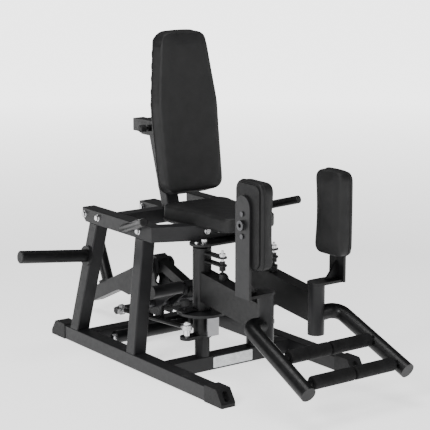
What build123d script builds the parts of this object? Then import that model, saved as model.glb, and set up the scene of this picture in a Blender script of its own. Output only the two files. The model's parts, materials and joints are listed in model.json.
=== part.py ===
from build123d import *
import os
import math

# Plate-loaded seated hip adductor / abductor machine. Millimetres, +Z up, +X the user's left,
# the user faces -Y. Z = 0 is the floor and X = 0 the middle of the machine.

# ---- driving dimensions -------------------------------------------------------------------
TUBE = 57.0              # square frame tube
WALL = 3.0               # frame tube wall
HORN_R = 25.0            # 50 mm plate horns
STORE_HORN = 295.0       # free length of a storage horn
LOAD_HORN = 228.0        # free length of the load horn beyond its flange
RAIL_X = 303.5           # base rail centre
RAIL_Y0, RAIL_Y1 = -412.0, 556.0
SHOE = 106.0             # length of an end shoe
FRONT_BEAM_Y = -104.5
REAR_BEAM_Y = 438.0
TOP_X = 251.5            # top rail centre
TOP_Z0 = 495.0           # underside of the top rails
TOP_Z1 = TOP_Z0 + TUBE
TOP_Y0, TOP_Y1 = 55.0, 488.0
REAR_POST_Y = (487.5, 412.0)      # post centre at its foot and at its top
FRONT_POST_Y = (74.5, 84.0)
TOP_BEAM_Y = 295.0
HEAD_Y = (-82.0, -25.0)  # beam between the column heads
COL_X, COL_Y = 122.0, -105.0      # leg column axis
SHAFT_R = 19.0
RUN = 0.05               # radial running clearance
PIVOT_Y, PIVOT_Z = 371.0, 298.0   # weight lever axis
PIVOT_R = 20.0
LINK_Y, LINK_Z = 348.0, 147.0     # link pin on the weight lever
LINK_X = 192.0
STUD_Z = 178.0           # height of the link rod's front eye
LEG_X, LEG_Y = 118.0, -485.0      # front sleeve axis
LEG_SLEEVE_R = 31.0
PAD_Y = -501.0           # middle of the thigh pads
FOOT_R = 28.5
CAP = 4.0                # end cap of the foot tubes
PEG_R = 24.5
PEG_AXES = ((-700.0, 208.0), (-827.0, 149.0))
BACK_LEAN = 7.6         # degrees
SLIDER = 25.0            # half width of the back pad slider
SELECT_R = 80.0          # hole circle of the start position disc


def yz_prism(points, x0, x1):
    """Straight prism with a Y-Z outline between two X positions."""
    with BuildPart() as prism:
        with BuildSketch(Plane.YZ.offset(x0)):
            with BuildLine():
                Polyline(*points, close=True)
            make_face()
        extrude(amount=x1 - x0)
    return prism.part


def bar(start, end, radius, hole=0.0):
    """Round bar or pipe between two points."""
    axis = Vector(*end) - Vector(*start)
    with BuildPart() as item:
        with BuildSketch(Plane(origin=start, z_dir=axis)):
            Circle(radius)
            if hole > 0:
                Circle(hole, mode=Mode.SUBTRACT)
        extrude(amount=axis.length)
    return item.part


def box_tube(x0, x1, y0, y1, z0, z1, along, wall=WALL, corner=4.0):
    """Square tube lying along one axis, with rounded long edges."""
    size = {"X": x1 - x0, "Y": y1 - y0, "Z": z1 - z0}
    inner = {key: value if key == along else value - 2 * wall for key, value in size.items()}
    axis = {"X": Axis.X, "Y": Axis.Y, "Z": Axis.Z}[along]
    with BuildPart() as tube:
        with Locations(((x0 + x1) / 2, (y0 + y1) / 2, (z0 + z1) / 2)):
            Box(size["X"], size["Y"], size["Z"])
            fillet(tube.edges().filter_by(axis), radius=corner)
            Box(inner["X"], inner["Y"], inner["Z"], mode=Mode.SUBTRACT)
    return tube.part


def leaning_post(side, foot_y, top_y):
    """Square post that leans inward from the base rail to the top rail."""
    with BuildPart() as post:
        for inset, mode in ((0.0, Mode.ADD), (WALL, Mode.SUBTRACT)):
            with BuildSketch(Plane.XY.offset(TUBE)) as foot:
                with Locations((side * RAIL_X, foot_y)):
                    RectangleRounded(TUBE - 2 * inset, TUBE - 2 * inset, 5.0 - inset)
            with BuildSketch(Plane.XY.offset(TOP_Z0)) as top:
                with Locations((side * TOP_X, top_y)):
                    RectangleRounded(TUBE - 2 * inset, TUBE - 2 * inset, 5.0 - inset)
            loft(sections=[foot.sketch.faces()[0], top.sketch.faces()[0]], mode=mode)
    return post.part


def hex_bolt(origin, direction, across=19.0, head=8.0, washer=13.0):
    """Hexagon head on its washer, seated on a face."""
    with BuildPart() as bolt:
        with BuildSketch(Plane(origin=origin, z_dir=direction)):
            Circle(washer)
        extrude(amount=2.5)
        with BuildSketch(Plane(origin=origin, z_dir=direction)):
            RegularPolygon(across / 2, 6, major_radius=False)
        extrude(amount=2.5 + head)
    return bolt.part


def group(solids):
    """Separate solids that share one node."""
    return Compound(children=list(solids))


nodes = {}
SIDES = (("right", -1), ("left", 1))

# ---- base ---------------------------------------------------------------------------------
rails = []
shoes = []
for name, s in SIDES:
    xa, xb = sorted((s * (RAIL_X - TUBE / 2), s * (RAIL_X + TUBE / 2)))
    rails.append(box_tube(xa, xb, RAIL_Y0, RAIL_Y1, 0, TUBE, "Y"))
    for end_y, outward in ((RAIL_Y0, -1), (RAIL_Y1, 1)):
        toe = end_y + outward * SHOE
        profile = [(end_y, 0), (toe, 0), (toe, 12), (toe - outward * 34, 62), (end_y, 62)]
        with BuildPart() as shoe:
            add(yz_prism(profile, s * RAIL_X - 31, s * RAIL_X + 31))
            fillet(shoe.faces().sort_by(Axis.Y)[0 if outward < 0 else -1].edges()
                   .filter_by(Axis.Z), radius=5)
            fillet(shoe.edges().filter_by(Axis.X).group_by(Axis.Z)[-1], radius=5)
            slope = Plane(origin=(s * RAIL_X, toe - outward * 17, 37), x_dir=(1, 0, 0),
                          z_dir=(0, outward * 50, 34))
            with BuildSketch(slope):
                SlotOverall(42, 24, rotation=90)
            extrude(amount=-14, mode=Mode.SUBTRACT)
            with BuildSketch(Plane.XY):
                with Locations((s * RAIL_X, toe - outward * 22)):
                    Circle(6)
            extrude(amount=62, mode=Mode.SUBTRACT)
        shoes.append(shoe.part)
nodes["base_rails"] = group(rails)
nodes["base_shoes"] = group(shoes)

beam_half = RAIL_X - TUBE / 2
nodes["front_crossbeam"] = box_tube(
    -beam_half, beam_half, FRONT_BEAM_Y - TUBE / 2, FRONT_BEAM_Y + TUBE / 2, 0, TUBE, "X")
with BuildPart() as rear_beam:
    add(box_tube(-beam_half, beam_half, REAR_BEAM_Y - TUBE / 2, REAR_BEAM_Y + TUBE / 2,
                 0, TUBE, "X"))
    add(yz_prism([(440, TUBE), (464, TUBE), (464, 171.6), (440, 185.5)], -22, 22))
nodes["rear_crossbeam"] = rear_beam.part

with BuildPart() as nameplate:
    with BuildSketch(Plane.XZ.offset(-(FRONT_BEAM_Y - TUBE / 2))):
        with Locations((2, TUBE / 2)):
            RectangleRounded(186, 42, 4)
    extrude(amount=1.5)
nodes["nameplate"] = nameplate.part

# ---- side frames --------------------------------------------------------------------------
nodes["rear_posts"] = group(leaning_post(s, *REAR_POST_Y) for name, s in SIDES)
nodes["front_posts"] = group(leaning_post(s, *FRONT_POST_Y) for name, s in SIDES)

top_rails = []
front_tubes = []
for name, s in SIDES:
    xa, xb = sorted((s * (TOP_X - TUBE / 2), s * (TOP_X + TUBE / 2)))
    with BuildPart() as rail:
        add(box_tube(xa, xb, TOP_Y0, TOP_Y1, TOP_Z0, TOP_Z1, "Y"))
        add(yz_prism([(TOP_Y1, TOP_Z0 - 1), (TOP_Y1 + 1, TOP_Z0 - 1), (TOP_Y1 + 1, TOP_Z0 + 26),
                      (TOP_Y1 - 24, TOP_Z0 - 1)], xa - 1, xb + 1), mode=Mode.SUBTRACT)
    top_rails.append(rail.part)
    outline = [
        (s * 280, TOP_Y0), (s * 280, -2.3), (s * 100, -82.4), (s * 100, -20),
        (s * 223, 34.7), (s * 223, TOP_Y0),
    ]
    with BuildPart() as tube:
        with BuildSketch(Plane.XY.offset(TOP_Z0)):
            with BuildLine():
                Polyline(*outline, close=True)
            make_face()
        extrude(amount=TUBE)
        with BuildSketch(Plane.XY.offset(TOP_Z0 + WALL)):
            with BuildLine():
                Polyline(*outline, close=True)
            make_face()
            offset(amount=-WALL, mode=Mode.REPLACE)
        extrude(amount=TUBE - 2 * WALL, mode=Mode.SUBTRACT)
    front_tubes.append(tube.part)
nodes["top_rails"] = group(top_rails)
nodes["front_top_tubes"] = group(front_tubes)


inner_top = TOP_X - TUBE / 2
with BuildPart() as rear_top:
    add(box_tube(-inner_top, inner_top, TOP_BEAM_Y - TUBE / 2, TOP_BEAM_Y + TUBE / 2,
                 TOP_Z0, TOP_Z1, "X"))
    with Locations((8.5, (TOP_BEAM_Y + TUBE / 2 + 460) / 2, 530)):
        Box(73, 460 - TOP_BEAM_Y - TUBE / 2, 44)
nodes["rear_top_crossbeam"] = rear_top.part

# ---- seat ---------------------------------------------------------------------------------
SEAT_Y0, SEAT_Y1 = -265.0, 140.0
SEAT_TOP = 611.0
BOARD = 8.0


UNDER = [(200, TOP_Z1 - 16), (5, TOP_Z1), (-85, TOP_Z1), (-300, 558.5)]  # underside of the seat board

spine_y0 = HEAD_Y[1]
spine_y1 = TOP_BEAM_Y - TUBE / 2
with BuildPart() as spine:
    add(box_tube(-25, 25, spine_y0, spine_y1, TOP_Z0, 531, "Y"))
    packer = [(y, TOP_Z1 - (y - 5) * 16 / 195) for y in (110, 40)]
    add(yz_prism([(40, 531), (110, 531), *packer], -25, 25))
nodes["seat_spine"] = spine.part
with BuildPart() as head_beam:
    add(box_tube(-100, 100, *HEAD_Y, TOP_Z0, TOP_Z1, "X"))
    with BuildSketch(Plane.XY.offset(TOP_Z0 - 8)):
        with Locations((-COL_X, COL_Y), (COL_X, COL_Y)):
            Circle(48)
        with Locations((0, (COL_Y - 48 + HEAD_Y[1]) / 2)):
            Rectangle(2 * COL_X, HEAD_Y[1] - COL_Y + 48)
    extrude(amount=8)
nodes["column_head_beam"] = head_beam.part


def seat_block(inset):
    """Seat outline, wider at the rear, from below the board to the cushion top."""
    with BuildPart() as block:
        with BuildSketch(Plane.XY.offset(525)) as plan:
            with BuildLine():
                Polyline((-150 + inset, SEAT_Y1 - inset), (150 - inset, SEAT_Y1 - inset),
                         (112 - inset, SEAT_Y0 + inset), (-112 + inset, SEAT_Y0 + inset),
                         close=True)
            make_face()
            fillet(plan.vertices(), radius=42 - inset)
        extrude(amount=SEAT_TOP - 525)
    return block.part


under = [(200, 500), *UNDER, (-300, 500)]
over = [(200, 700), *[(y, z + BOARD) for y, z in UNDER], (-300, 700)]
with BuildPart() as seat_board:
    add(seat_block(12))
    add(yz_prism(under, -200, 200), mode=Mode.SUBTRACT)
    add(yz_prism(over, -200, 200), mode=Mode.SUBTRACT)
nodes["seat_board"] = seat_board.part
with BuildPart() as seat_pad:
    add(seat_block(0))
    add(yz_prism(under, -200, 200), mode=Mode.SUBTRACT)
    add(seat_board.part, mode=Mode.SUBTRACT)
nodes["seat_pad"] = seat_pad.part

# ---- back rest ----------------------------------------------------------------------------
UPRIGHT_TOP = 827.0
SLEEVE_Y0, SLEEVE_Y1 = 336.0, 437.0
SLIDE_Z = 859.0
with BuildPart() as upright:
    lean = [(250, TOP_Z1), (300, TOP_Z1), (386, UPRIGHT_TOP), (336, UPRIGHT_TOP)]
    add(yz_prism(lean, -TUBE / 2, TUBE / 2))
    fillet(upright.edges().filter_by(lambda e: abs(e.tangent_at(0.5).X) < 0.1
                                     and abs(e.tangent_at(0.5).Z) > 0.5), radius=4)
    hollow = [(254, TOP_Z1), (296, TOP_Z1), (382, UPRIGHT_TOP), (340, UPRIGHT_TOP)]
    add(yz_prism(hollow, -TUBE / 2 + WALL, TUBE / 2 - WALL), mode=Mode.SUBTRACT)
nodes["back_upright"] = upright.part

with BuildPart() as back_sleeve:
    with Locations((0, (SLEEVE_Y0 + SLEEVE_Y1) / 2, SLIDE_Z)):
        Box(64, SLEEVE_Y1 - SLEEVE_Y0, 64)
        fillet(back_sleeve.edges().filter_by(Axis.Y), radius=4)
        Box(2 * (SLIDER + RUN), SLEEVE_Y1 - SLEEVE_Y0, 2 * (SLIDER + RUN), mode=Mode.SUBTRACT)
    with BuildSketch(Plane.YZ.offset(-32)):
        with Locations((375, SLIDE_Z)):
            Circle(13)
    extrude(amount=-14)
    with BuildSketch(Plane.YZ.offset(-46)):
        with Locations((375, SLIDE_Z)):
            Circle(5 + RUN)
    extrude(amount=25, mode=Mode.SUBTRACT)
nodes["back_sleeve"] = back_sleeve.part

with BuildPart() as back_pin:
    with BuildSketch(Plane.YZ.offset(-60)):
        with Locations((375, SLIDE_Z)):
            Circle(5)
    extrude(amount=34.5)
    with BuildSketch(Plane.YZ.offset(-80)):
        with Locations((375, SLIDE_Z)):
            Circle(15)
    extrude(amount=25)
    fillet(back_pin.edges().group_by(Axis.X)[0], radius=5)
nodes["back_pin"] = back_pin.part

up = (0, math.sin(math.radians(BACK_LEAN)), math.cos(math.radians(BACK_LEAN)))
out = (0, -up[2], up[1])
PAD_T = 62.0
BACK_BOARD = 12.0
PAD_FOOT = Vector(0, 99, 641)
pad_back = PAD_FOOT - Vector(*out) * PAD_T
board_back = pad_back - Vector(*out) * BACK_BOARD
slider_face_y = board_back.Y + (SLIDE_Z - board_back.Z) * math.tan(math.radians(BACK_LEAN))


def back_outline(inset):
    """Corner points of the back pad, widest above the middle and narrow at the top."""
    return [(-137.5 + inset, inset), (137.5 - inset, inset), (142.5 - inset, 345),
            (107.5 - inset, 620 - inset), (-107.5 + inset, 620 - inset), (-142.5 + inset, 345)]


def back_layer(origin, thickness, inset):
    """One layer of the back rest, leaning back."""
    with BuildPart() as layer:
        with BuildSketch(Plane(origin=origin, x_dir=(1, 0, 0), z_dir=out)) as face:
            with BuildLine():
                Polyline(*back_outline(inset), close=True)
            make_face()
            corners = face.vertices().group_by(Axis.Y)
            fillet(corners[0] + corners[-1], radius=38 - inset)
            fillet(face.vertices().filter_by(lambda v: abs(v.Y - 345) < 1), radius=300)
        extrude(amount=thickness)
    return layer.part


with BuildPart() as back_pad:
    add(back_layer(pad_back, PAD_T, 0))
    fillet(back_pad.faces().sort_by(Axis((0, 0, 0), out))[-1].edges(), radius=12)
nodes["back_pad"] = back_pad.part
nodes["back_board"] = back_layer(board_back, BACK_BOARD, 10)

lean_tan = math.tan(math.radians(BACK_LEAN))
with BuildPart() as slider:
    with Locations((0, (180 + 506) / 2, SLIDE_Z)):
        Box(2 * SLIDER, 506 - 180, 2 * SLIDER)
        Box(2 * SLIDER - 6, 506 - 180, 2 * SLIDER - 6, mode=Mode.SUBTRACT)
    flange = [(slider_face_y + (760 - SLIDE_Z) * lean_tan, 760),
              (slider_face_y + (960 - SLIDE_Z) * lean_tan, 960),
              (slider_face_y + (960 - SLIDE_Z) * lean_tan + 6, 960),
              (slider_face_y + (760 - SLIDE_Z) * lean_tan + 6, 760)]
    add(yz_prism(flange, -40, 40))
    before = [(0, 700), (slider_face_y + (700 - SLIDE_Z) * lean_tan, 700),
              (slider_face_y + (1000 - SLIDE_Z) * lean_tan, 1000), (0, 1000)]
    add(yz_prism(before, -60, 60), mode=Mode.SUBTRACT)
    with BuildSketch(Plane.YZ.offset(-SLIDER - 1)):
        for k in range(6):
            with Locations((375 - 40 + 20 * k, SLIDE_Z)):
                Circle(5 + RUN)
    extrude(amount=8, mode=Mode.SUBTRACT)
nodes["back_slider"] = slider.part

# ---- handles and storage horns ------------------------------------------------------------
handles = []
horns = []
for name, s in SIDES:
    face_x = s * (TOP_X + TUBE / 2)
    with BuildPart() as handle:
        add(bar((s * 262, 224, 507), (s * 363.8, -81, 598.5), 16))
        fillet(handle.edges().sort_by(Axis.Y)[0], radius=5)
        with Locations((s * (TOP_X + TUBE / 2 - 50), 200, 523)):
            Box(100, 400, 200, mode=Mode.SUBTRACT)
    handles.append(handle.part)
    post_x = RAIL_X + TUBE / 2 - 52.0 * (365 - TUBE) / (TOP_Z0 - TUBE)
    tilt = math.atan(52.0 / (TOP_Z0 - TUBE))
    root = Vector(s * post_x, 434.5, 365)
    ray = Vector(s * math.cos(tilt), 0, math.sin(tilt))
    with BuildPart() as horn:
        with BuildSketch(Plane(origin=root, z_dir=ray)):
            Circle(40)
        extrude(amount=8)
        with BuildSketch(Plane(origin=root + ray * 8, z_dir=ray)):
            Circle(HORN_R)
        extrude(amount=STORE_HORN)
        tip = horn.faces().sort_by(Axis(root, ray))[-1]
        fillet(tip.edges(), radius=4)
        with BuildSketch(Plane(origin=root, z_dir=ray)):
            Circle(HORN_R - 3)
        extrude(amount=STORE_HORN + 4, mode=Mode.SUBTRACT)
    horns.append(horn.part)
nodes["handles"] = group(handles)
nodes["storage_horns"] = group(horns)

# ---- leg columns --------------------------------------------------------------------------
columns = []
for name, s in SIDES:
    with BuildPart() as column:
        for z0, z1, radius in ((TUBE, 128, 28.5), (128, TOP_Z0 - 8, SHAFT_R)):
            with BuildSketch(Plane.XY.offset(z0)):
                with Locations((s * COL_X, COL_Y)):
                    Circle(radius)
            extrude(amount=z1 - z0)
    columns.append(column.part)
nodes["leg_columns"] = group(columns)

# ---- weight lever carrier and stops -------------------------------------------------------
uprights = []
brackets = []
carrier = [(412, TUBE), (464, TUBE), (446, 155), (414, 300), (400, 322), (371, 329),
           (344, 319), (340, 298), (350, 276), (402, 262), (420, 200)]
for name, s in SIDES:
    xa, xb = sorted((s * 45, s * 57))
    with BuildPart() as plate:
        add(yz_prism(carrier, xa, xb))
        add(bar((s * 41, PIVOT_Y, PIVOT_Z), (s * 61, PIVOT_Y, PIVOT_Z), 29))
        add(bar((s * 40, PIVOT_Y, PIVOT_Z), (s * 70, PIVOT_Y, PIVOT_Z), PIVOT_R + RUN),
            mode=Mode.SUBTRACT)
    uprights.append(plate.part)
nodes["lever_carriers"] = group(uprights)

with BuildPart() as stop_tube:
    add(bar((-228, 341, 40), (228, 341, 40), 25))
    for name, s in SIDES:
        xa, xb = sorted((s * 104, s * 116))
        foot = [(309, 8), (REAR_BEAM_Y - TUBE / 2, 8), (REAR_BEAM_Y - TUBE / 2, 53), (375, 72),
                (309, 72)]
        add(yz_prism(foot, xa, xb))
    add(bar((-228, 341, 40), (228, 341, 40), 21), mode=Mode.SUBTRACT)
    for x in (-226, 226):
        with Locations((x, 341, 40)):
            Cylinder(radius=21, height=4, rotation=(0, 90, 0))
nodes["lower_tube"] = stop_tube.part

nodes["rest_bumper"] = yz_prism([(440, 185.5), (464, 171.6), (464, 185.6), (440, 199.5)], -22, 22)

bolts = []
for name, s in SIDES:
    for y, z in ((470, 526), (373, 526), (85, 524)):
        bolts.append(hex_bolt((s * (TOP_X + TUBE / 2), y, z), (s, 0, 0)))
    for x in (82, 26):
        bolts.append(hex_bolt((s * x, HEAD_Y[0], 530), (0, -1, 0)))
    bolts.append(hex_bolt((s * COL_X, COL_Y - 12, TOP_Z0), (0, 0, 1), 20, 12, 15))
    bolts.append(hex_bolt((s * (COL_X + 32), COL_Y - 10, TOP_Z0), (0, 0, 1), 12, 6, 8))
    bolts.append(hex_bolt((s * 228, 341, 40), (s, 0, 0), 24, 12, 17))
bolts.append(hex_bolt((-28, 440, 530), (-1, 0, 0)))
nodes["frame_bolts"] = group(bolts)

# ---- weight lever -------------------------------------------------------------------------
LEVER = [(864, 100.3), (537, 252), (362, 346), (336, 336), (326, 300), (340, 272), (400, 256),
         (436, 202), (547, 138.5), (624, 145), (645, 138), (838, 48.5)]
FRONT_ARM = [(352, 333.6), (115, 257), (127, 221), (345, 291.5)]
CROSSBAR_YZ = (152.0, 256.0)
with BuildPart() as lever:
    add(yz_prism(LEVER, -TUBE / 2, TUBE / 2))
    hollow_arm = [(858, 98), (540, 245.5), (440, 299), (455, 205), (549, 145), (625, 152),
                  (646, 145), (836, 56)]
    add(yz_prism(hollow_arm, -TUBE / 2 + 4, TUBE / 2 - 4), mode=Mode.SUBTRACT)
    add(yz_prism(FRONT_ARM, -20, 20))
    add(bar((-TUBE / 2, *CROSSBAR_YZ), (TUBE / 2, *CROSSBAR_YZ), 24))
    add(bar((-40, PIVOT_Y, PIVOT_Z), (40, PIVOT_Y, PIVOT_Z), PIVOT_R), mode=Mode.SUBTRACT)
nodes["weight_lever"] = lever.part

CHEEK = [(128, 232), (122, 252), (134, 268), (160, 270), (217, 246), (302, 225), (338, 240),
         (350, 332), (400, 320), (412, 262), (396, 160), (376, 102), (325, 102), (320, 116),
         (302, 146), (248, 189), (170, 230)]
cheeks = []
for name, s in SIDES:
    xa, xb = sorted((s * TUBE / 2, s * (TUBE / 2 + 10)))
    with BuildPart() as cheek:
        add(yz_prism(CHEEK, xa, xb))
        add(bar((xa - 5, PIVOT_Y, PIVOT_Z), (xb + 5, PIVOT_Y, PIVOT_Z), PIVOT_R),
            mode=Mode.SUBTRACT)
        add(bar((xa - 5, LINK_Y, LINK_Z), (xb + 5, LINK_Y, LINK_Z), 16), mode=Mode.SUBTRACT)
    cheeks.append(cheek.part)
nodes["lever_cheeks"] = group(cheeks)
nodes["lever_shafts"] = group((
    bar((-68, PIVOT_Y, PIVOT_Z), (68, PIVOT_Y, PIVOT_Z), PIVOT_R),
    bar((-175, LINK_Y, LINK_Z), (175, LINK_Y, LINK_Z), 16)))
crossbars = []
for name, s in SIDES:
    with BuildPart() as crossbar:
        add(bar((s * (TUBE / 2 + 10), *CROSSBAR_YZ), (s * 178, *CROSSBAR_YZ), 24))
        add(bar((s * (TUBE / 2 + 10), *CROSSBAR_YZ), (s * 174, *CROSSBAR_YZ), 20.5),
            mode=Mode.SUBTRACT)
    crossbars.append(crossbar.part)
nodes["lever_crossbars"] = group(crossbars)

pins = []
for name, s in SIDES:
    with BuildPart() as pin:
        add(bar((s * 175, LINK_Y, LINK_Z), (s * 212, LINK_Y, LINK_Z), 6))
        for start, across, depth in ((175, 12, 5), (207, 14, 13)):
            with BuildSketch(Plane(origin=(s * start, LINK_Y, LINK_Z), z_dir=(s, 0, 0))):
                RegularPolygon(across, 6, major_radius=False)
            extrude(amount=depth)
    pins.append(pin.part)
nodes["link_pins"] = group(pins)

with BuildPart() as bumper:
    with BuildSketch(Plane(origin=(0, 119, 245), z_dir=(0, -36, -12))):
        Circle(12)
    extrude(amount=14)
    fillet(bumper.faces().sort_by(Axis.Y)[0].edges(), radius=5)
nodes["lever_bumper"] = bumper.part

slope = math.atan2(151.7, 327.0)
horn_dir = Vector(0, math.sin(slope), math.cos(slope))
horn_root = Vector(0, 752, 252 - (752 - 537) * math.tan(slope))
with BuildPart() as load_horn:
    with BuildSketch(Plane(origin=horn_root, z_dir=horn_dir)):
        Circle(40)
    extrude(amount=8)
    with BuildSketch(Plane(origin=horn_root + horn_dir * 8, z_dir=horn_dir)):
        Circle(HORN_R)
    extrude(amount=LOAD_HORN)
    fillet(load_horn.faces().sort_by(Axis(horn_root, horn_dir))[-1].edges(), radius=4)
    with BuildSketch(Plane(origin=horn_root, z_dir=horn_dir)):
        Circle(HORN_R - 3)
    extrude(amount=LOAD_HORN + 4, mode=Mode.SUBTRACT)
nodes["load_horn"] = load_horn.part

# ---- cranks, links and legs, one set per side ---------------------------------------------
for name, s in SIDES:
    cx = s * COL_X
    sx = s * LINK_X
    with BuildPart() as crank:
        with BuildSketch(Plane.XY.offset(132)):
            with Locations((cx, COL_Y)):
                Circle(36)
            with Locations((sx, COL_Y)):
                Circle(27)
            with Locations(((cx + sx) / 2, COL_Y)):
                Rectangle(abs(sx - cx), 50)
        extrude(amount=12)
        for z0, z1, radius in ((144, 226, 34), (128.5, 132, 28)):
            with BuildSketch(Plane.XY.offset(z0)):
                with Locations((cx, COL_Y)):
                    Circle(radius)
            extrude(amount=z1 - z0)
        with BuildSketch(Plane.XY.offset(144)):
            with Locations((cx, COL_Y)):
                Circle(SHAFT_R + RUN)
        extrude(amount=90, both=True, mode=Mode.SUBTRACT)
    nodes["crank_" + name] = crank.part

    with BuildPart() as disc:
        with BuildSketch(Plane.XY.offset(226)):
            with Locations((cx, COL_Y)):
                Circle(95)
                Circle(SHAFT_R + RUN, mode=Mode.SUBTRACT)
            for k in range(-1, 6):
                angle = math.radians(180 if s < 0 else 0) + s * math.radians(10 * k)
                with Locations((cx + SELECT_R * math.cos(angle), COL_Y + SELECT_R * math.sin(angle))):
                    Circle(6 + RUN, mode=Mode.SUBTRACT)
        extrude(amount=10)
        with Locations((cx, COL_Y - 69, 226 - 38)):
            Box(50, 8, 76)
    nodes["selector_disc_" + name] = disc.part

    with BuildPart() as stud:
        for z0, z1, radius in ((144, 168.9, 13), (168.9, 200, 8)):
            with BuildSketch(Plane.XY.offset(z0)):
                with Locations((sx, COL_Y)):
                    Circle(radius)
            extrude(amount=z1 - z0)
        with BuildSketch(Plane.XY.offset(187.2)):
            with Locations((sx, COL_Y)):
                RegularPolygon(12, 6, major_radius=False)
        extrude(amount=10)
    nodes["crank_stud_" + name] = stud.part

    front = Vector(sx, COL_Y, STUD_Z)
    rear = Vector(sx, LINK_Y, LINK_Z)
    run = (rear - front).normalized()
    with BuildPart() as rod:
        add(bar(front + run * 14, rear - run * 15, 9))
        with BuildSketch(Plane.XY.offset(STUD_Z - 9)):
            with Locations((sx, COL_Y)):
                Circle(20)
        extrude(amount=18)
        with BuildSketch(Plane.YZ.offset(sx - 7)):
            with Locations((LINK_Y, LINK_Z)):
                Circle(21)
        extrude(amount=14)
        with BuildSketch(Plane.XY.offset(STUD_Z)):
            with Locations((sx, COL_Y)):
                Circle(8 + RUN)
        extrude(amount=40, both=True, mode=Mode.SUBTRACT)
        with BuildSketch(Plane.YZ.offset(sx)):
            with Locations((LINK_Y, LINK_Z)):
                Circle(9.5)
        extrude(amount=40, both=True, mode=Mode.SUBTRACT)
    nodes["link_rod_" + name] = rod.part

    lx = s * LEG_X
    mid = s * (COL_X + LEG_X) / 2
    with BuildPart() as leg:
        outer = [(COL_Y, 392.4), (LEG_Y, 344.2), (LEG_Y, 236.7), (COL_Y, 279)]
        add(yz_prism(outer, mid - TUBE / 2, mid + TUBE / 2))
        inner = [(COL_Y - 40, 383.3), (LEG_Y + 34, 344.5), (LEG_Y + 34, 244.5), (COL_Y - 40, 278.5)]
        add(yz_prism(inner, mid - TUBE / 2 + 4, mid + TUBE / 2 - 4), mode=Mode.SUBTRACT)
        with BuildSketch(Plane.XY.offset(239)):
            with Locations((cx, COL_Y)):
                Circle(35.5)
        extrude(amount=239)
        with BuildSketch(Plane.XY.offset(189)):
            with Locations((lx, LEG_Y)):
                Circle(LEG_SLEEVE_R)
        extrude(amount=188.5)
        with Locations((s * 176, COL_Y, 243.5)):
            Box(104, 34, 7)
        with BuildSketch(Plane.XY.offset(239)):
            with Locations((cx, COL_Y)):
                Circle(SHAFT_R + RUN)
            with Locations((s * (COL_X + SELECT_R), COL_Y)):
                Circle(6 + RUN)
        extrude(amount=300, mode=Mode.SUBTRACT)
        with BuildSketch(Plane.XY.offset(195)):
            with Locations((lx, LEG_Y)):
                Circle(16 + RUN)
        extrude(amount=200, mode=Mode.SUBTRACT)
    nodes["leg_arm_" + name] = leg.part

    with BuildPart() as foot:
        with BuildLine() as path:
            FilletPolyline((lx, -484, 262), (s * 205, -500, 276), (s * 225.6, -857, 125.8), radius=52)
        with BuildSketch(Plane(origin=path.line @ 0, z_dir=path.line % 0)):
            Circle(FOOT_R)
            Circle(FOOT_R - 3.5, mode=Mode.SUBTRACT)
        sweep(path=path.line)
        with BuildSketch(Plane(origin=path.line @ 1, z_dir=path.line % 1)):
            Circle(FOOT_R)
        extrude(amount=CAP)
        with BuildSketch(Plane.XY.offset(150)):
            with Locations((lx, LEG_Y)):
                Circle(LEG_SLEEVE_R)
        extrude(amount=300, mode=Mode.SUBTRACT)
        with Locations((mid, LEG_Y + 50, 290)):
            Box(TUBE, 100, 200, mode=Mode.SUBTRACT)
        for y, z in PEG_AXES:
            add(bar((s * 6, y, z), (s * 216, y, z), 12))
    nodes["foot_frame_" + name] = foot.part

    pegs = []
    for y, z in PEG_AXES:
        with BuildPart() as peg:
            add(bar((s * 5, y, z), (s * 184, y, z), PEG_R))
            fillet(peg.edges(), radius=4)
            add(bar((s * 6, y, z), (s * 190, y, z), 12), mode=Mode.SUBTRACT)
        pegs.append(peg.part)
    nodes["foot_pegs_" + name] = group(pegs)

    pin_y = COL_Y - 126
    pin_z = 392.4 - 0.1268 * 126
    with BuildPart() as lock:
        for z in (428, 458):
            with BuildSketch(Plane.XY.offset(z)):
                with Locations((mid, (COL_Y - 20 + pin_y) / 2)):
                    Rectangle(34, COL_Y - 20 - pin_y)
                with Locations((mid, pin_y)):
                    Circle(17)
            extrude(amount=6)
        with BuildSketch(Plane(origin=(mid, pin_y, pin_z), z_dir=(0, -0.1268, 1))):
            Circle(14)
        extrude(amount=24)
        for z0, z1, radius in ((398, 487, 5), (412, 428, 12), (434, 446, 10), (464, 476, 12)):
            with BuildSketch(Plane.XY.offset(z0)):
                with Locations((mid, pin_y)):
                    Circle(radius)
            extrude(amount=z1 - z0)
        with BuildSketch(Plane.XY.offset(420)):
            with Locations((cx, COL_Y)):
                Circle(35.5)
        extrude(amount=60, mode=Mode.SUBTRACT)
    nodes["leg_lock_pin_" + name] = lock.part

    with BuildPart() as selector:
        with BuildSketch(Plane.XY.offset(236.6)):
            with Locations((s * (COL_X + SELECT_R), COL_Y)):
                Circle(6)
        extrude(amount=40)
        with BuildSketch(Plane.XY.offset(266)):
            with Locations((s * (COL_X + SELECT_R), COL_Y)):
                Circle(21)
        extrude(amount=20)
        fillet(selector.edges().group_by(Axis.Z)[-1], radius=5)
        with BuildSketch(Plane.XY.offset(258.5)):
            with Locations((s * (COL_X + SELECT_R + 34), COL_Y + 4)):
                SlotOverall(110, 18)
        extrude(amount=7.5)
    nodes["selector_pin_" + name] = selector.part

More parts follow.
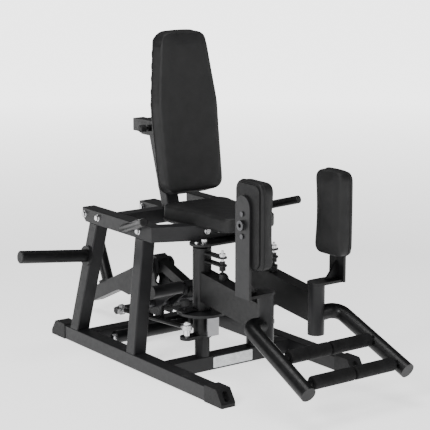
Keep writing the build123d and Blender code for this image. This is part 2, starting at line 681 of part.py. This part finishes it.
    pad_in, pad_out, bar_out = s * 145, s * 206, s * 222
    with BuildPart() as bracket:
        with BuildSketch(Plane.XY.offset(377.6)):
            with Locations((lx, LEG_Y)):
                Circle(35)
            with Locations(((lx + bar_out) / 2, LEG_Y)):
                Rectangle(abs(bar_out - lx), 70)
        extrude(amount=10)
        xa, xb = sorted((s * 212, bar_out))
        with BuildSketch(Plane.YZ.offset(xa)):
            with Locations((LEG_Y, (377.6 + 704) / 2)):
                Rectangle(82, 704 - 377.6)
            with Locations((LEG_Y, 704)):
                Circle(41)
        extrude(amount=10)
        with BuildSketch(Plane.XZ.offset(-LEG_Y - 5)):
            with BuildLine():
                Polyline((s * 158, 387.6), (s * 212, 387.6), (s * 212, 455), close=True)
            make_face()
        extrude(amount=10)
        with BuildSketch(Plane.XY.offset(196)):
            with Locations((lx, LEG_Y)):
                Circle(16)
        extrude(amount=182)
    nodes["thigh_bracket_" + name] = bracket.part

    xa, xb = sorted((pad_out, s * 212))
    with BuildPart() as thigh_board:
        with BuildSketch(Plane.YZ.offset(xa)):
            with Locations((PAD_Y, 639.5)):
                RectangleRounded(132, 295, 26)
        extrude(amount=6)
    nodes["thigh_board_" + name] = thigh_board.part

    xa, xb = sorted((pad_in, pad_out))
    with BuildPart() as thigh_pad:
        with BuildSketch(Plane.YZ.offset(xa)):
            with Locations((PAD_Y, 639.5)):
                RectangleRounded(154, 314, 32)
        extrude(amount=61)
        inner_face = thigh_pad.faces().sort_by(Axis.X)[0 if s > 0 else -1]
        fillet(inner_face.edges(), radius=12)
    nodes["thigh_pad_" + name] = thigh_pad.part

    fittings = [bar((bar_out, LEG_Y, 640), (bar_out + s * 12, LEG_Y, 640), 18, 8)]
    for z in (600, 680):
        fittings.append(bar((bar_out, LEG_Y, z), (bar_out + s * 5, LEG_Y, z), 9))
    nodes["thigh_screws_" + name] = group(fittings)

os.makedirs("parts", exist_ok=True)
for label, shape in nodes.items():
    shape.label = label
    export_step(shape, "parts/" + label + ".step")
print(len(nodes), "nodes")
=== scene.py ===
import bpy
import json
import math
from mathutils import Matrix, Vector
from mathutils.bvhtree import BVHTree


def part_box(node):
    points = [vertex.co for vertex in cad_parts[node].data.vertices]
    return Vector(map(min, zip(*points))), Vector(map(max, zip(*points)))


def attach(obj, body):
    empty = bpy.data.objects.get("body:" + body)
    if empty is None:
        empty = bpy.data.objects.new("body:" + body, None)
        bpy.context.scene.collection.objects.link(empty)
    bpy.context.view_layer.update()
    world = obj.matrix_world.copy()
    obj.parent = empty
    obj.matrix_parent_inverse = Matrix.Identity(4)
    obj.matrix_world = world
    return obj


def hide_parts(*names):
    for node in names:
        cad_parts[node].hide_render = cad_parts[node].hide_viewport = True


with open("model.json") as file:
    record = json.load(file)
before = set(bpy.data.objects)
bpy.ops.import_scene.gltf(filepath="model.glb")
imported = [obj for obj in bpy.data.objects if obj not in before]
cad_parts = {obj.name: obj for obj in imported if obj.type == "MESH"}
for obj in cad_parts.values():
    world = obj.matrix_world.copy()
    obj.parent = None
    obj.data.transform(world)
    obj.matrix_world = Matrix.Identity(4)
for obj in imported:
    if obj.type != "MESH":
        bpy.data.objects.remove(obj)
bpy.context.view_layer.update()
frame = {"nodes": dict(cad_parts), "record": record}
nodes = frame["nodes"]


# ---- materials ----------------------------------------------------------------------------
class Shader:
    """A node material with one principled shader, built up from procedural layers."""

    def __init__(self, name, color, rough, metal=0.0, specular=0.5):
        self.mat = bpy.data.materials.new(name)
        self.mat.use_nodes = True
        self.tree = self.mat.node_tree
        self.bsdf = self.tree.nodes["Principled BSDF"]
        self.bsdf.inputs["Base Color"].default_value = (*color, 1)
        self.bsdf.inputs["Roughness"].default_value = rough
        self.bsdf.inputs["Metallic"].default_value = metal
        self.bsdf.inputs["Specular IOR Level"].default_value = specular
        self.coords = self.tree.nodes.new("ShaderNodeTexCoord").outputs["Object"]
        self.normal = None

    def stretched(self, scale):
        mapping = self.tree.nodes.new("ShaderNodeMapping")
        mapping.inputs["Scale"].default_value = scale
        self.tree.links.new(self.coords, mapping.inputs["Vector"])
        return mapping.outputs["Vector"]

    def noise(self, scale, detail=3.0, stretch=(1, 1, 1)):
        node = self.tree.nodes.new("ShaderNodeTexNoise")
        node.inputs["Scale"].default_value = scale
        node.inputs["Detail"].default_value = detail
        self.tree.links.new(self.stretched(stretch), node.inputs["Vector"])
        return node.outputs["Fac"]

    def cells(self, scale, feature="DISTANCE_TO_EDGE"):
        node = self.tree.nodes.new("ShaderNodeTexVoronoi")
        node.feature = feature
        node.inputs["Scale"].default_value = scale
        self.tree.links.new(self.coords, node.inputs["Vector"])
        return node.outputs["Distance"]

    def remap(self, value, low, high, from_low=0.0, from_high=1.0):
        node = self.tree.nodes.new("ShaderNodeMapRange")
        node.inputs["From Min"].default_value = from_low
        node.inputs["From Max"].default_value = from_high
        node.inputs["To Min"].default_value = low
        node.inputs["To Max"].default_value = high
        self.tree.links.new(value, node.inputs["Value"])
        return node.outputs["Result"]

    def mix_color(self, factor, first, second):
        node = self.tree.nodes.new("ShaderNodeMix")
        node.data_type = "RGBA"
        self.tree.links.new(factor, node.inputs["Factor"])
        for socket, color in (("A", first), ("B", second)):
            target = next(i for i in node.inputs if i.name == socket and i.type == "RGBA")
            if isinstance(color, tuple):
                target.default_value = (*color, 1)
            else:
                self.tree.links.new(color, target)
        return next(o for o in node.outputs if o.type == "RGBA")

    def bump(self, height, distance, strength=1.0):
        node = self.tree.nodes.new("ShaderNodeBump")
        node.inputs["Distance"].default_value = distance
        node.inputs["Strength"].default_value = strength
        self.tree.links.new(height, node.inputs["Height"])
        if self.normal is not None:
            self.tree.links.new(self.normal, node.inputs["Normal"])
        self.normal = node.outputs["Normal"]
        self.tree.links.new(self.normal, self.bsdf.inputs["Normal"])

    def drive(self, socket, value):
        self.tree.links.new(value, self.bsdf.inputs[socket])

    def band(self, axis, middle, half_width):
        """1 inside a slab of object space, 0 outside it."""
        split = self.tree.nodes.new("ShaderNodeSeparateXYZ")
        self.tree.links.new(self.coords, split.inputs["Vector"])
        node = self.tree.nodes.new("ShaderNodeMath")
        node.operation = "COMPARE"
        self.tree.links.new(split.outputs[axis], node.inputs[0])
        node.inputs[1].default_value = middle
        node.inputs[2].default_value = half_width
        return node.outputs["Value"]

    def either(self, first, second):
        node = self.tree.nodes.new("ShaderNodeMath")
        node.operation = "MAXIMUM"
        self.tree.links.new(first, node.inputs[0])
        self.tree.links.new(second, node.inputs[1])
        return node.outputs["Value"]

    def edges(self):
        """Near 1 along worn outside edges."""
        geometry = self.tree.nodes.new("ShaderNodeNewGeometry")
        return self.remap(geometry.outputs["Pointiness"], 0.0, 1.0, 0.52, 0.62)


def powder_coat(name, color, light, bare_zone=None, bare=(0.62, 0.62, 0.63)):
    """Satin paint; bare_zone picks the stretch of the node that is bright metal instead."""
    shader = Shader(name, color, 0.4, specular=0.24)
    patch = shader.remap(shader.noise(9, 4), 0.0, 1.0, 0.35, 0.65)
    body = shader.mix_color(patch, color, light)
    paint = shader.mix_color(shader.edges(), body, tuple(c * 3.0 for c in light))
    rough = shader.remap(shader.noise(60, 4), 0.32, 0.45, 0.3, 0.7)
    if bare_zone is not None:
        zone = bare_zone(shader)
        paint = shader.mix_color(zone, paint, bare)
        shader.drive("Metallic", zone)
    shader.drive("Base Color", paint)
    shader.drive("Roughness", rough)
    shader.bump(shader.noise(1400, 2), 0.00022, 0.3)
    shader.bump(shader.noise(380, 2), 0.0003, 0.15)
    return shader.mat


def vinyl(name, color, light):
    shader = Shader(name, color, 0.5, specular=0.25)
    patch = shader.remap(shader.noise(14, 4), 0.0, 1.0, 0.35, 0.65)
    shader.drive("Base Color", shader.mix_color(patch, color, light))
    shader.drive("Roughness", shader.remap(shader.noise(30, 5), 0.46, 0.6, 0.3, 0.7))
    shader.bump(shader.cells(620), 0.0005, 0.4)
    shader.bump(shader.noise(900, 3), 0.0003, 0.3)
    shader.bump(shader.noise(20, 2), 0.0012, 0.15)
    return shader.mat


def rubber(name, color, light):
    shader = Shader(name, color, 0.72, specular=0.15)
    dust = shader.remap(shader.noise(22, 5), 0.0, 1.0, 0.4, 0.7)
    shader.drive("Base Color", shader.mix_color(dust, color, light))
    shader.drive("Roughness", shader.remap(shader.noise(80, 3), 0.6, 0.8, 0.3, 0.7))
    shader.bump(shader.noise(1100, 3), 0.0005, 0.5)
    return shader.mat


def plastic(name, color, light):
    shader = Shader(name, color, 0.48, specular=0.16)
    patch = shader.remap(shader.noise(18, 4), 0.0, 1.0, 0.35, 0.65)
    shader.drive("Base Color", shader.mix_color(patch, color, light))
    shader.drive("Roughness", shader.remap(shader.noise(120, 3), 0.42, 0.58, 0.3, 0.7))
    shader.bump(shader.cells(1500, "F1"), 0.0002, 0.4)
    return shader.mat


def plated(name, color, rough, stretch=(1, 1, 1), scale=240):
    shader = Shader(name, color, rough, metal=1.0)
    tint = shader.remap(shader.noise(70, 4), 0.0, 1.0, 0.35, 0.65)
    shader.drive("Base Color", shader.mix_color(tint, color, tuple(c * 0.8 for c in color)))
    lines = shader.noise(scale, 3, stretch)
    shader.drive("Roughness", shader.remap(lines, rough * 0.7, rough * 1.5, 0.3, 0.7))
    shader.bump(lines, 0.00012, 0.35)
    return shader.mat


# Plated stretches of painted nodes, as middle and half length in metres.
LOCK_STEM_Z, LOCK_NUT_Z = (0.452, 0.0055), (0.477, 0.0125)
STOP_PLATE_Z = (0.188, 0.0375)
FRONT_EYE_Y, REAR_EYE_Y = (-0.18, 0.104), (0.425, 0.104)
DULL_STEEL = (0.3, 0.3, 0.31)

PAINT, PAINT_LIGHT = (0.003, 0.003, 0.0032), (0.0045, 0.0045, 0.0048)
looks = {
    "frame_black": powder_coat("satin_black_coat", PAINT, PAINT_LIGHT),
    "vinyl": vinyl("black_vinyl", (0.007, 0.007, 0.0072), (0.0092, 0.0092, 0.0095)),
    "rubber": rubber("black_rubber", (0.006, 0.006, 0.0062), (0.010, 0.010, 0.0105)),
    "board": plastic("backing_board", (0.006, 0.006, 0.0062), (0.009, 0.009, 0.0093)),
    "plastic": plastic("moulded_black", (0.012, 0.012, 0.0125), (0.018, 0.018, 0.0185)),
    "bolt_chrome": plated("bright_chrome", (0.72, 0.72, 0.73), 0.17),
    "slider_steel": plated("dark_zinc", (0.1, 0.1, 0.105), 0.34),
    "plate_aluminium": plated("brushed_plate", (0.62, 0.63, 0.64), 0.36, (1, 40, 40), 30),
    "lock_steel": powder_coat(
        "lock_black", PAINT, PAINT_LIGHT,
        lambda s: s.either(s.band("Z", *LOCK_STEM_Z), s.band("Z", *LOCK_NUT_Z))),
}
stop_plate = powder_coat("disc_with_bare_plate", PAINT, PAINT_LIGHT,
                         lambda s: s.band("Z", *STOP_PLATE_Z), DULL_STEEL)
rod_ends = powder_coat("rod_with_plated_ends", PAINT, PAINT_LIGHT,
                       lambda s: s.either(s.band("Y", *FRONT_EYE_Y), s.band("Y", *REAR_EYE_Y)))
zoned = {"selector_disc": stop_plate, "link_rod": rod_ends}
slot_of = {s["node"]: s["material_slot"] for s in frame["record"]["subparts"]}
for name, obj in nodes.items():
    obj.data.materials.clear()
    obj.data.materials.append(zoned.get(name.rsplit("_", 1)[0], looks[slot_of[name]]))
piping_look = vinyl("piping_vinyl", (0.005, 0.005, 0.0052), (0.007, 0.007, 0.0073))


# ---- upholstery ---------------------------------------------------------------------------
HELD_DEPTH = 0.009       # cloth this near the board side does not move
CLOTH_FRAMES = 20
EVEN_ROUNDS = 12
COVER_SPARE = 0.001      # a cover is larger than its CAD pad by this on every side
PIPING_STEPS = 200


def round_corner(mesh, center, radius, flat_dir, outward):
    """Pulls one corner of a cushion in to a larger radius round an axis across its thickness."""
    for vert in mesh.vertices:
        rel = vert.co - center
        rel -= flat_dir * rel.dot(flat_dir)
        if all(rel.dot(way) > 0 for way in outward) and rel.length > radius:
            vert.co -= rel * (1 - radius / rel.length)


def evened(mesh, moves, rounds):
    """Averages each vertex's move with its neighbours', which takes small wrinkles out."""
    around = [[] for vert in mesh.vertices]
    for edge in mesh.edges:
        a, b = edge.vertices
        around[a].append(b)
        around[b].append(a)
    for number in range(rounds):
        moves = [(moves[i] + sum((moves[k] for k in near), Vector())) / (len(near) + 1)
                 for i, near in enumerate(around)]
    return moves


def fit_box(mesh, low, high, spare):
    """Scales a cushion to the room of its CAD pad, plus a little on every side."""
    now_low = Vector(min(v.co[i] for v in mesh.vertices) for i in range(3))
    now_high = Vector(max(v.co[i] for v in mesh.vertices) for i in range(3))
    for vert in mesh.vertices:
        vert.co = Vector(
            low[i] - spare + (vert.co[i] - now_low[i]) * (high[i] - low[i] + 2 * spare)
            / (now_high[i] - now_low[i]) for i in range(3))


def blown_up(node, body, voxel, cap, shrink, flat_dir, corners=()):
    """Cushion mesh from a CAD pad: swollen by cloth pressure, held flat on its board side."""
    source = nodes[node]
    low, high = (Vector(v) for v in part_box(node))
    center = (low + high) / 2
    mesh = source.data.copy()
    pad = bpy.data.objects.new(node + "_cover", mesh)
    bpy.context.scene.collection.objects.link(pad)
    half = (high - low) / 2
    for vert in mesh.vertices:
        rel = vert.co - center
        vert.co = center + Vector(rel[i] * (1 - shrink / half[i]) for i in range(3))
    back = max(v.co.dot(flat_dir) for v in source.data.vertices)
    shift = back - max(v.co.dot(flat_dir) for v in mesh.vertices)
    for vert in mesh.vertices:
        vert.co += flat_dir * shift
    bpy.context.view_layer.objects.active = pad
    remesh = pad.modifiers.new("remesh", "REMESH")
    remesh.mode = "VOXEL"
    remesh.voxel_size = voxel
    bpy.ops.object.modifier_apply(modifier=remesh.name)
    mesh = pad.data
    for middle, radius, outward in corners:
        round_corner(mesh, middle, radius, flat_dir, outward)
    start = [v.co.copy() for v in mesh.vertices]
    held = pad.vertex_groups.new(name="held")
    near_board = [v.index for v in mesh.vertices if back - v.co.dot(flat_dir) < HELD_DEPTH]
    held.add(near_board, 1.0, "REPLACE")
    cloth = pad.modifiers.new("cloth", "CLOTH")
    cloth.settings.use_pressure = True
    cloth.settings.uniform_pressure_force = 3.0
    cloth.settings.vertex_group_mass = "held"
    cloth.settings.tension_stiffness = 20
    cloth.settings.compression_stiffness = 20
    cloth.settings.shear_stiffness = 8
    cloth.settings.effector_weights.gravity = 0
    cloth.point_cache.frame_start = 1
    cloth.point_cache.frame_end = CLOTH_FRAMES
    for number in range(1, CLOTH_FRAMES + 1):
        bpy.context.scene.frame_set(number)
    deformed = pad.evaluated_get(bpy.context.evaluated_depsgraph_get())
    final = [v.co.copy() for v in deformed.data.vertices]
    pad.modifiers.clear()
    bpy.context.scene.frame_set(1)
    moves = [b - a for a, b in zip(start, final)]
    moves = [m * min(1, cap / m.length) if m.length else m for m in moves]
    for vert, a, move in zip(mesh.vertices, start, evened(mesh, moves, EVEN_ROUNDS)):
        vert.co = a + move
    smooth = pad.modifiers.new("smooth", "SMOOTH")
    smooth.iterations = 7
    bpy.ops.object.modifier_apply(modifier=smooth.name)
    subdivide = pad.modifiers.new("subdivide", "SUBSURF")
    subdivide.levels = subdivide.render_levels = 1
    bpy.ops.object.modifier_apply(modifier=subdivide.name)
    fit_box(pad.data, low, high, COVER_SPARE)
    for face in pad.data.polygons:
        face.use_smooth = True
    pad.data.materials.clear()
    pad.data.materials.append(looks["vinyl"])
    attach(pad, body)
    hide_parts(node)
    return pad


def welt(pad, body, flat_dir, across, depth, radius=0.0022):
    """Piping sewn round a cushion, a fixed depth in from its board side."""
    tree = BVHTree.FromPolygons([v.co for v in pad.data.vertices],
                                [p.vertices for p in pad.data.polygons])
    back = max(v.co.dot(flat_dir) for v in pad.data.vertices)
    middle = sum((v.co for v in pad.data.vertices), Vector()) / len(pad.data.vertices)
    middle += flat_dir * (back - depth - middle.dot(flat_dir))
    along = flat_dir.cross(across).normalized()
    points = []
    for step in range(PIPING_STEPS):
        angle = 2 * math.pi * step / PIPING_STEPS
        ray = across * math.cos(angle) + along * math.sin(angle)
        hit = tree.ray_cast(middle + ray, -ray)[0]
        points.append(hit + ray * radius * 0.2)
    curve = bpy.data.curves.new(pad.name + "_piping", "CURVE")
    curve.dimensions = "3D"
    curve.bevel_depth = radius
    curve.bevel_resolution = 3
    spline = curve.splines.new("POLY")
    spline.points.add(len(points) - 1)
    for target, point in zip(spline.points, points):
        target.co = (*point, 1)
    spline.use_cyclic_u = True
    piping = bpy.data.objects.new(pad.name + "_piping", curve)
    bpy.context.scene.collection.objects.link(piping)
    curve.materials.append(piping_look)
    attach(piping, body)
    return piping


BACK_LEAN = math.radians(7.6)
back_dir = Vector((0, math.cos(BACK_LEAN), -math.sin(BACK_LEAN)))
x_dir = Vector((1, 0, 0))
seat_dir = Vector((0, 0, -1))
seat = blown_up("seat_pad", "frame", 0.006, 0.008, 0.004, seat_dir)
welt(seat, "frame", seat_dir, x_dir, 0.012)
back_up = x_dir.cross(back_dir)
BACK_FOOT = Vector((0, 0.099, 0.641))
BACK_SHRINK = 0.003
# Half width, height up the pad, corner radius, and the way up or down to the pad's middle.
BACK_FOOT_CORNER, BACK_HEAD_CORNER = (0.1375, 0, 0.058, 1), (0.1095, 0.62, 0.052, -1)
back_corners = []
for way in (-1, 1):
    for half_width, height, radius, pull in (BACK_FOOT_CORNER, BACK_HEAD_CORNER):
        sideways = x_dir * way * (half_width - radius)
        middle = BACK_FOOT + sideways + back_up * (height + pull * radius)
        back_corners.append((middle, radius - BACK_SHRINK, (x_dir * way, back_up * -pull)))
back_rest = blown_up("back_pad", "back_carriage", 0.006, 0.006, BACK_SHRINK, back_dir,
                     back_corners)
welt(back_rest, "back_carriage", back_dir, x_dir, 0.013)
for side, sign in (("right", -1), ("left", 1)):
    outward = Vector((sign, 0, 0))
    thigh = blown_up("thigh_pad_" + side, "thigh_" + side, 0.005, 0.006, 0.003, outward)
    welt(thigh, "thigh_" + side, outward, Vector((0, 1, 0)), 0.014)


# ---- stage --------------------------------------------------------------------------------
bpy.ops.mesh.primitive_plane_add(size=60, location=(0, 0, 0))
floor = bpy.context.object
floor.name = "floor"
pale = Shader("pale_floor_painted_shadow", (0.9, 0.9, 0.9), 0.9, specular=0.05)
pale.drive("Base Color", pale.mix_color(pale.noise(0.6, 2), (0.9, 0.9, 0.9), (0.87, 0.87, 0.87)))
# The floor glows weakest at its middle and brighter outwards: the dim middle is a painted shadow
# under the machine.
reach = pale.tree.nodes.new("ShaderNodeVectorMath")
reach.operation = "LENGTH"
pale.tree.links.new(pale.coords, reach.inputs[0])
pale.bsdf.inputs["Emission Color"].default_value = (1, 1, 1, 1)
PAINTED_SHADOW_GLOW, FAR_GLOW = 1.2, 3.4          # emission under the machine, kept low there as a painted shadow, and far from it
GLOW_START, GLOW_END = 2.0, 7.5         # distances in metres
pale.drive("Emission Strength",
           pale.remap(reach.outputs["Value"], PAINTED_SHADOW_GLOW, FAR_GLOW, GLOW_START, GLOW_END))
floor.data.materials.append(pale.mat)

world = bpy.data.worlds.new("studio")
bpy.context.scene.world = world
world.use_nodes = True
world.node_tree.nodes["Background"].inputs["Color"].default_value = (1, 1, 1, 1)
world.node_tree.nodes["Background"].inputs["Strength"].default_value = 0.12


def soft_light(name, place, size, power, target=(0, 0, 0.55)):
    light = bpy.data.lights.new(name, "AREA")
    light.shape = "SQUARE"
    light.size = size
    light.energy = power
    obj = bpy.data.objects.new(name, light)
    obj.location = place
    obj.rotation_euler = (Vector(target) - Vector(place)).to_track_quat("-Z", "Y").to_euler()
    bpy.context.scene.collection.objects.link(obj)


soft_light("key", (-4.0, -1.6, 2.8), 1.6, 170)
soft_light("top", (-0.4, 0.2, 4.4), 2.4, 120)
soft_light("front", (0.6, -4.6, 2.6), 1.6, 45)

AZIMUTH, ELEVATION = math.radians(-36.12), math.radians(11.9)
DISTANCE = 5.86144
target = Vector((0.0145, 0, 0.56472))
away = Vector((math.sin(AZIMUTH) * math.cos(ELEVATION),
               -math.cos(AZIMUTH) * math.cos(ELEVATION), math.sin(ELEVATION)))
lens = bpy.data.cameras.new("camera")
lens.sensor_width = 36
lens.lens = 128.27
camera = bpy.data.objects.new("camera", lens)
camera.location = target + away * DISTANCE
camera.rotation_euler = (-away).to_track_quat("-Z", "Y").to_euler()
bpy.context.scene.collection.objects.link(camera)
bpy.context.scene.camera = camera
